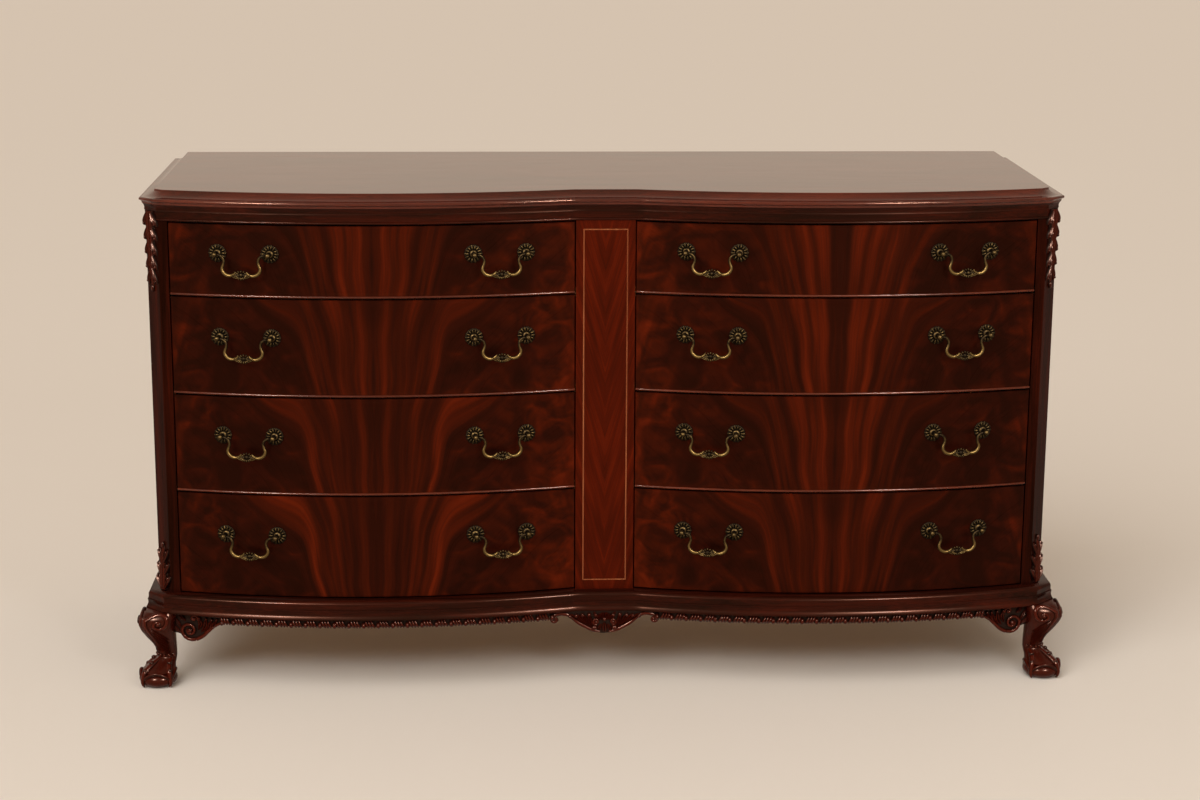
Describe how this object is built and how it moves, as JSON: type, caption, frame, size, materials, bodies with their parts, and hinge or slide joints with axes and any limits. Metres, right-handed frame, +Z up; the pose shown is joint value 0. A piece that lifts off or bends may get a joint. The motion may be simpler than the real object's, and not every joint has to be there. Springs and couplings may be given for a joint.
{
  "type": "double dresser",
  "caption": "Bow-front double dresser in red mahogany with graduated drawers, brass bail pulls, canted carved corners and claw-and-ball feet.",
  "frame": {"origin": "on the floor at the middle of the width and depth", "axes": "+X to the right seen from the front, -Y out of the drawer fronts, +Z up"},
  "size_m": [1.6555, 0.573, 0.888],
  "materials": {
    "mahogany": "dark red lacquer over flame mahogany veneer",
    "secondary_wood": "plain oiled secondary wood",
    "brass": "antique, dark in the hollows and rubbed on the high points"
  },
  "bodies": {
    "case": {"top_board": "mahogany", "frieze_moulding": "mahogany", "side_panel_left": "mahogany", "side_panel_right": "mahogany", "corner_post_left": "mahogany", "corner_post_right": "mahogany", "center_stile": "mahogany", "center_partition": "secondary_wood", "back_panel": "secondary_wood", "drawer_rails": "secondary_wood", "drawer_runners": "secondary_wood", "case_bottom": "secondary_wood", "base_moulding": "mahogany", "gadroon_border": "mahogany", "apron_pendant": "mahogany", "front_leg_left": "mahogany", "front_leg_right": "mahogany", "rear_legs": "mahogany", "knee_brackets": "mahogany", "corner_carvings": "mahogany"},
    "drawer_left_top": {"drawer_left_top_front": "mahogany", "drawer_left_top_box": "secondary_wood", "drawer_left_top_pulls": "brass"},
    "drawer_left_second": {"drawer_left_second_front": "mahogany", "drawer_left_second_box": "secondary_wood", "drawer_left_second_pulls": "brass"},
    "drawer_left_third": {"drawer_left_third_front": "mahogany", "drawer_left_third_box": "secondary_wood", "drawer_left_third_pulls": "brass"},
    "drawer_left_bottom": {"drawer_left_bottom_front": "mahogany", "drawer_left_bottom_box": "secondary_wood", "drawer_left_bottom_pulls": "brass"},
    "drawer_right_top": {"drawer_right_top_front": "mahogany", "drawer_right_top_box": "secondary_wood", "drawer_right_top_pulls": "brass"},
    "drawer_right_second": {"drawer_right_second_front": "mahogany", "drawer_right_second_box": "secondary_wood", "drawer_right_second_pulls": "brass"},
    "drawer_right_third": {"drawer_right_third_front": "mahogany", "drawer_right_third_box": "secondary_wood", "drawer_right_third_pulls": "brass"},
    "drawer_right_bottom": {"drawer_right_bottom_front": "mahogany", "drawer_right_bottom_box": "secondary_wood", "drawer_right_bottom_pulls": "brass"},
    "bail_left_top_outer": {"bail_left_top_outer": "brass"},
    "bail_left_top_inner": {"bail_left_top_inner": "brass"},
    "bail_left_second_outer": {"bail_left_second_outer": "brass"},
    "bail_left_second_inner": {"bail_left_second_inner": "brass"},
    "bail_left_third_outer": {"bail_left_third_outer": "brass"},
    "bail_left_third_inner": {"bail_left_third_inner": "brass"},
    "bail_left_bottom_outer": {"bail_left_bottom_outer": "brass"},
    "bail_left_bottom_inner": {"bail_left_bottom_inner": "brass"},
    "bail_right_top_outer": {"bail_right_top_outer": "brass"},
    "bail_right_top_inner": {"bail_right_top_inner": "brass"},
    "bail_right_second_outer": {"bail_right_second_outer": "brass"},
    "bail_right_second_inner": {"bail_right_second_inner": "brass"},
    "bail_right_third_outer": {"bail_right_third_outer": "brass"},
    "bail_right_third_inner": {"bail_right_third_inner": "brass"},
    "bail_right_bottom_outer": {"bail_right_bottom_outer": "brass"},
    "bail_right_bottom_inner": {"bail_right_bottom_inner": "brass"}
  },
  "joints": [
    {"name": "drawer_left_top_slide", "type": "slide", "parent": "case", "child": "drawer_left_top", "axis": [0, -1, 0], "range_m": [0, 0.38]},
    {"name": "drawer_left_second_slide", "type": "slide", "parent": "case", "child": "drawer_left_second", "axis": [0, -1, 0], "range_m": [0, 0.38]},
    {"name": "drawer_left_third_slide", "type": "slide", "parent": "case", "child": "drawer_left_third", "axis": [0, -1, 0], "range_m": [0, 0.38]},
    {"name": "drawer_left_bottom_slide", "type": "slide", "parent": "case", "child": "drawer_left_bottom", "axis": [0, -1, 0], "range_m": [0, 0.38]},
    {"name": "drawer_right_top_slide", "type": "slide", "parent": "case", "child": "drawer_right_top", "axis": [0, -1, 0], "range_m": [0, 0.38]},
    {"name": "drawer_right_second_slide", "type": "slide", "parent": "case", "child": "drawer_right_second", "axis": [0, -1, 0], "range_m": [0, 0.38]},
    {"name": "drawer_right_third_slide", "type": "slide", "parent": "case", "child": "drawer_right_third", "axis": [0, -1, 0], "range_m": [0, 0.38]},
    {"name": "drawer_right_bottom_slide", "type": "slide", "parent": "case", "child": "drawer_right_bottom", "axis": [0, -1, 0], "range_m": [0, 0.38]},
    {"name": "bail_left_top_outer_hinge", "type": "hinge", "parent": "drawer_left_top", "child": "bail_left_top_outer", "pos_m": [-0.62355, -0.26408, 0.78526], "axis": [-0.9874, 0.1584, 0], "range_deg": [-15, 85]},
    {"name": "bail_left_top_inner_hinge", "type": "hinge", "parent": "drawer_left_top", "child": "bail_left_top_inner", "pos_m": [-0.18046, -0.26408, 0.78526], "axis": [-0.9874, -0.1584, 0], "range_deg": [-15, 85]},
    {"name": "bail_left_second_outer_hinge", "type": "hinge", "parent": "drawer_left_second", "child": "bail_left_second_outer", "pos_m": [-0.62355, -0.26408, 0.63921], "axis": [-0.9874, 0.1584, 0], "range_deg": [-15, 85]},
    {"name": "bail_left_second_inner_hinge", "type": "hinge", "parent": "drawer_left_second", "child": "bail_left_second_inner", "pos_m": [-0.18046, -0.26408, 0.63921], "axis": [-0.9874, -0.1584, 0], "range_deg": [-15, 85]},
    {"name": "bail_left_third_outer_hinge", "type": "hinge", "parent": "drawer_left_third", "child": "bail_left_third_outer", "pos_m": [-0.62355, -0.26408, 0.46463], "axis": [-0.9874, 0.1584, 0], "range_deg": [-15, 85]},
    {"name": "bail_left_third_inner_hinge", "type": "hinge", "parent": "drawer_left_third", "child": "bail_left_third_inner", "pos_m": [-0.18046, -0.26408, 0.46463], "axis": [-0.9874, -0.1584, 0], "range_deg": [-15, 85]},
    {"name": "bail_left_bottom_outer_hinge", "type": "hinge", "parent": "drawer_left_bottom", "child": "bail_left_bottom_outer", "pos_m": [-0.62355, -0.26408, 0.28513], "axis": [-0.9874, 0.1584, 0], "range_deg": [-15, 85]},
    {"name": "bail_left_bottom_inner_hinge", "type": "hinge", "parent": "drawer_left_bottom", "child": "bail_left_bottom_inner", "pos_m": [-0.18046, -0.26408, 0.28513], "axis": [-0.9874, -0.1584, 0], "range_deg": [-15, 85]},
    {"name": "bail_right_top_outer_hinge", "type": "hinge", "parent": "drawer_right_top", "child": "bail_right_top_outer", "pos_m": [0.62355, -0.26408, 0.78526], "axis": [-0.9874, -0.1584, 0], "range_deg": [-15, 85]},
    {"name": "bail_right_top_inner_hinge", "type": "hinge", "parent": "drawer_right_top", "child": "bail_right_top_inner", "pos_m": [0.18046, -0.26408, 0.78526], "axis": [-0.9874, 0.1584, 0], "range_deg": [-15, 85]},
    {"name": "bail_right_second_outer_hinge", "type": "hinge", "parent": "drawer_right_second", "child": "bail_right_second_outer", "pos_m": [0.62355, -0.26408, 0.63921], "axis": [-0.9874, -0.1584, 0], "range_deg": [-15, 85]},
    {"name": "bail_right_second_inner_hinge", "type": "hinge", "parent": "drawer_right_second", "child": "bail_right_second_inner", "pos_m": [0.18046, -0.26408, 0.63921], "axis": [-0.9874, 0.1584, 0], "range_deg": [-15, 85]},
    {"name": "bail_right_third_outer_hinge", "type": "hinge", "parent": "drawer_right_third", "child": "bail_right_third_outer", "pos_m": [0.62355, -0.26408, 0.46463], "axis": [-0.9874, -0.1584, 0], "range_deg": [-15, 85]},
    {"name": "bail_right_third_inner_hinge", "type": "hinge", "parent": "drawer_right_third", "child": "bail_right_third_inner", "pos_m": [0.18046, -0.26408, 0.46463], "axis": [-0.9874, 0.1584, 0], "range_deg": [-15, 85]},
    {"name": "bail_right_bottom_outer_hinge", "type": "hinge", "parent": "drawer_right_bottom", "child": "bail_right_bottom_outer", "pos_m": [0.62355, -0.26408, 0.28513], "axis": [-0.9874, -0.1584, 0], "range_deg": [-15, 85]},
    {"name": "bail_right_bottom_inner_hinge", "type": "hinge", "parent": "drawer_right_bottom", "child": "bail_right_bottom_inner", "pos_m": [0.18046, -0.26408, 0.28513], "axis": [-0.9874, 0.1584, 0], "range_deg": [-15, 85]}
  ]
}
